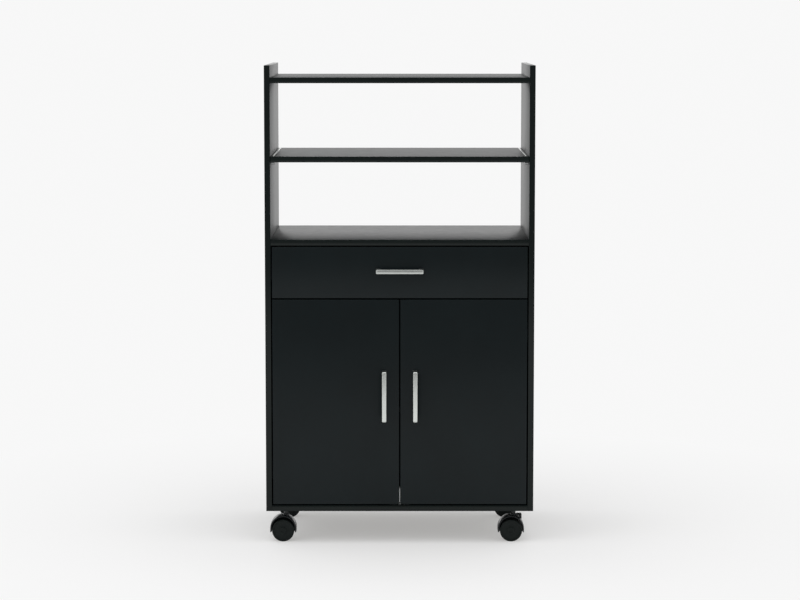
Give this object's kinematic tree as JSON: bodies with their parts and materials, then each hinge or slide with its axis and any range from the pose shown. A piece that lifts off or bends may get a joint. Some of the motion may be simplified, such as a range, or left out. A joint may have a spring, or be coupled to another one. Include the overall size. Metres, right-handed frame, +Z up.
{
  "type": "microwave cart",
  "caption": "Tall narrow kitchen cart with open shelf bays over a drawer and a two-door cabinet, rolling on swivel casters with brakes.",
  "frame": {"origin": "on the floor, under the middle of the outline that the case and its handles fill", "axes": "+Z up, -Y towards someone who opens the doors, +X to that person's right"},
  "size_m": [0.6, 0.428, 1.072],
  "materials": {
    "black_melamine": "semi-gloss black melamine on board",
    "black_hardboard": "black lacquered hardboard",
    "drawer_board": "matt charcoal foil on board",
    "satin_nickel": "satin nickel plating",
    "bright_zinc": "bright zinc plating",
    "black_resin": "glossy moulded black resin",
    "wheel_resin": "satin moulded dark grey resin",
    "pale_resin": "pale moulded resin"
  },
  "bodies": {
    "root": {"left_side_panel": "black_melamine", "right_side_panel": "black_melamine", "top_shelf": "black_melamine", "middle_shelf": "black_melamine", "worktop": "black_melamine", "bottom_board": "black_melamine", "back_panel": "black_hardboard", "cabinet_shelf": "black_melamine", "door_catch": "pale_resin", "left_case_runner": "bright_zinc", "right_case_runner": "bright_zinc", "left_upper_hinge_arm": "bright_zinc", "left_upper_front_shelf_pin": "bright_zinc", "left_upper_back_shelf_pin": "bright_zinc", "left_lower_hinge_arm": "bright_zinc", "left_lower_front_shelf_pin": "bright_zinc", "left_lower_back_shelf_pin": "bright_zinc", "right_upper_hinge_arm": "bright_zinc", "right_upper_front_shelf_pin": "bright_zinc", "right_upper_back_shelf_pin": "bright_zinc", "right_lower_hinge_arm": "bright_zinc", "right_lower_front_shelf_pin": "bright_zinc", "right_lower_back_shelf_pin": "bright_zinc", "front_left_caster_plate": "bright_zinc", "front_right_caster_plate": "bright_zinc", "back_left_caster_plate": "bright_zinc", "back_right_caster_plate": "bright_zinc"},
    "left_door": {"left_door": "black_melamine", "left_door_handle": "satin_nickel", "left_strike": "bright_zinc", "left_upper_hinge_cup": "bright_zinc", "left_lower_hinge_cup": "bright_zinc"},
    "right_door": {"right_door": "black_melamine", "right_door_handle": "satin_nickel", "right_strike": "bright_zinc", "right_upper_hinge_cup": "bright_zinc", "right_lower_hinge_cup": "bright_zinc"},
    "drawer": {"drawer_front": "black_melamine", "drawer_left_side": "drawer_board", "drawer_right_side": "drawer_board", "drawer_back": "drawer_board", "drawer_bottom": "black_hardboard", "drawer_handle": "satin_nickel", "left_drawer_runner": "bright_zinc", "right_drawer_runner": "bright_zinc"},
    "front_left_caster": {"front_left_caster_hood": "black_resin"},
    "front_left_near_wheel": {"front_left_near_wheel": "wheel_resin"},
    "front_left_far_wheel": {"front_left_far_wheel": "wheel_resin"},
    "front_right_caster": {"front_right_caster_hood": "black_resin"},
    "front_right_near_wheel": {"front_right_near_wheel": "wheel_resin"},
    "front_right_far_wheel": {"front_right_far_wheel": "wheel_resin"},
    "front_right_brake": {"front_right_brake_lever": "black_resin"},
    "back_left_caster": {"back_left_caster_hood": "black_resin"},
    "back_left_near_wheel": {"back_left_near_wheel": "wheel_resin"},
    "back_left_far_wheel": {"back_left_far_wheel": "wheel_resin"},
    "back_left_brake": {"back_left_brake_lever": "black_resin"},
    "back_right_caster": {"back_right_caster_hood": "black_resin"},
    "back_right_near_wheel": {"back_right_near_wheel": "wheel_resin"},
    "back_right_far_wheel": {"back_right_far_wheel": "wheel_resin"}
  },
  "joints": [
    {"name": "left_door_hinge", "type": "hinge", "parent": "root", "child": "left_door", "pos_m": [-0.2695, -0.179, 0.321], "axis": [0, 0, -1], "range_deg": [0, 95]},
    {"name": "right_door_hinge", "type": "hinge", "parent": "root", "child": "right_door", "pos_m": [0.2695, -0.179, 0.321], "axis": [0, 0, 1], "range_deg": [0, 95]},
    {"name": "drawer_slide", "type": "slide", "parent": "root", "child": "drawer", "axis": [0, -1, 0], "range_m": [0, 0.25]},
    {"name": "front_left_swivel", "type": "hinge", "parent": "root", "child": "front_left_caster", "pos_m": [-0.2574, -0.1455, 0.07], "axis": [0, 0, 1], "continuous": true},
    {"name": "front_left_near_wheel_spin", "type": "hinge", "parent": "front_left_caster", "child": "front_left_near_wheel", "pos_m": [-0.2634, -0.157, 0.025], "axis": [0, 1, 0], "continuous": true},
    {"name": "front_left_far_wheel_spin", "type": "hinge", "parent": "front_left_caster", "child": "front_left_far_wheel", "pos_m": [-0.2634, -0.134, 0.025], "axis": [0, 1, 0], "continuous": true},
    {"name": "front_right_swivel", "type": "hinge", "parent": "root", "child": "front_right_caster", "pos_m": [0.2574, -0.1455, 0.07], "axis": [0, 0, 1], "continuous": true},
    {"name": "front_right_near_wheel_spin", "type": "hinge", "parent": "front_right_caster", "child": "front_right_near_wheel", "pos_m": [0.2514, -0.157, 0.025], "axis": [0, 1, 0], "continuous": true},
    {"name": "front_right_far_wheel_spin", "type": "hinge", "parent": "front_right_caster", "child": "front_right_far_wheel", "pos_m": [0.2514, -0.134, 0.025], "axis": [0, 1, 0], "continuous": true},
    {"name": "front_right_brake_press", "type": "hinge", "parent": "front_right_caster", "child": "front_right_brake", "pos_m": [0.2664, -0.1455, 0.05839], "axis": [0, 1, 0], "range_deg": [0, 6]},
    {"name": "back_left_swivel", "type": "hinge", "parent": "root", "child": "back_left_caster", "pos_m": [-0.2545, 0.134, 0.07], "axis": [0, 0, 1], "continuous": true},
    {"name": "back_left_near_wheel_spin", "type": "hinge", "parent": "back_left_caster", "child": "back_left_near_wheel", "pos_m": [-0.2605, 0.1225, 0.025], "axis": [0, 1, 0], "continuous": true},
    {"name": "back_left_far_wheel_spin", "type": "hinge", "parent": "back_left_caster", "child": "back_left_far_wheel", "pos_m": [-0.2605, 0.1455, 0.025], "axis": [0, 1, 0], "continuous": true},
    {"name": "back_left_brake_press", "type": "hinge", "parent": "back_left_caster", "child": "back_left_brake", "pos_m": [-0.2455, 0.134, 0.05839], "axis": [0, 1, 0], "range_deg": [0, 6]},
    {"name": "back_right_swivel", "type": "hinge", "parent": "root", "child": "back_right_caster", "pos_m": [0.2545, 0.134, 0.07], "axis": [0, 0, 1], "continuous": true},
    {"name": "back_right_near_wheel_spin", "type": "hinge", "parent": "back_right_caster", "child": "back_right_near_wheel", "pos_m": [0.2485, 0.1225, 0.025], "axis": [0, 1, 0], "continuous": true},
    {"name": "back_right_far_wheel_spin", "type": "hinge", "parent": "back_right_caster", "child": "back_right_far_wheel", "pos_m": [0.2485, 0.1455, 0.025], "axis": [0, 1, 0], "continuous": true}
  ]
}
